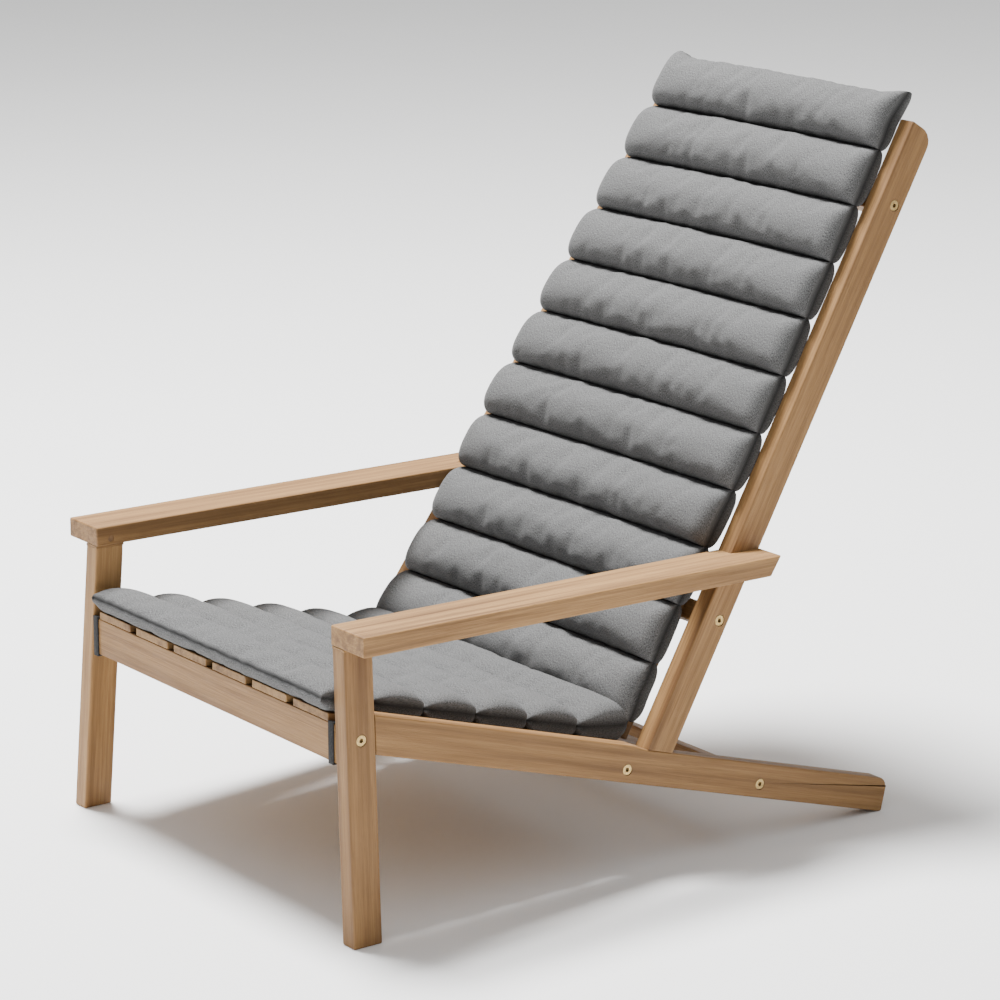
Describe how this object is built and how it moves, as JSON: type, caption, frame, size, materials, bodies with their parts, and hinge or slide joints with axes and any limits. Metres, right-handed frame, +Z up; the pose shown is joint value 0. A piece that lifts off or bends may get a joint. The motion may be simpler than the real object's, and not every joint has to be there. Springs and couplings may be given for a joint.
{
  "type": "folding deck chair",
  "caption": "Low teak lounge chair with a reclined slatted back, sloping rails, flat armrests and a loose channelled pad whose back section folds forward.",
  "frame": {"origin": "on the floor, under the middle of the chair's footprint box", "axes": "+Z up, -Y the way the sitter faces, +X the sitter's left"},
  "size_m": [0.696, 0.9892, 0.957],
  "materials": {
    "frame_teak": "sanded teak boards, satin oil, straight fine grain along each board",
    "slat_teak": "sanded teak slats, satin oil, straight fine grain",
    "peg_teak": "turned hardwood pegs, end grain showing",
    "brass": "satin brass, lightly tarnished in the sockets",
    "pad_fabric": "heathered mid-grey woven outdoor cloth over quilted fibre filling",
    "strap_webbing": "dark grey woven webbing"
  },
  "bodies": {
    "chair_frame": {"front_leg_left": "frame_teak", "front_leg_right": "frame_teak", "side_rail_left": "frame_teak", "side_rail_right": "frame_teak", "back_upright_left": "frame_teak", "back_upright_right": "frame_teak", "armrest_left": "frame_teak", "armrest_right": "frame_teak", "leg_peg_left": "peg_teak", "leg_peg_right": "peg_teak", "armrest_dowel_left": "peg_teak", "armrest_dowel_right": "peg_teak", "front_board": "frame_teak", "seat_cross_rail": "frame_teak", "rear_cross_rail": "frame_teak", "lower_back_rail": "frame_teak", "upper_back_rail": "frame_teak", "seat_slat_1": "slat_teak", "seat_slat_2": "slat_teak", "seat_slat_3": "slat_teak", "seat_slat_4": "slat_teak", "seat_slat_5": "slat_teak", "seat_slat_6": "slat_teak", "back_slat_1": "slat_teak", "back_slat_2": "slat_teak", "back_slat_3": "slat_teak", "back_slat_4": "slat_teak", "back_slat_5": "slat_teak", "back_slat_6": "slat_teak", "bolt_front_left": "brass", "bolt_front_right": "brass", "bolt_seat_left": "brass", "bolt_seat_right": "brass", "bolt_rear_left": "brass", "bolt_rear_right": "brass", "bolt_lumbar_left": "brass", "bolt_lumbar_right": "brass", "bolt_shoulder_left": "brass", "bolt_shoulder_right": "brass", "barrel_nut_front_left": "brass", "barrel_nut_front_right": "brass", "barrel_nut_seat_left": "brass", "barrel_nut_seat_right": "brass", "barrel_nut_rear_left": "brass", "barrel_nut_rear_right": "brass", "barrel_nut_lumbar_left": "brass", "barrel_nut_lumbar_right": "brass", "barrel_nut_shoulder_left": "brass", "barrel_nut_shoulder_right": "brass", "pad_seat": "pad_fabric", "pad_strap_left": "strap_webbing", "pad_strap_right": "strap_webbing"},
    "pad_back_section": {"pad_back": "pad_fabric"}
  },
  "joints": [
    {"name": "pad_back_fold", "type": "hinge", "parent": "chair_frame", "child": "pad_back_section", "pos_m": [0, -0.04543, 0.20732], "axis": [1, 0, 0], "range_deg": [0, 100]}
  ]
}
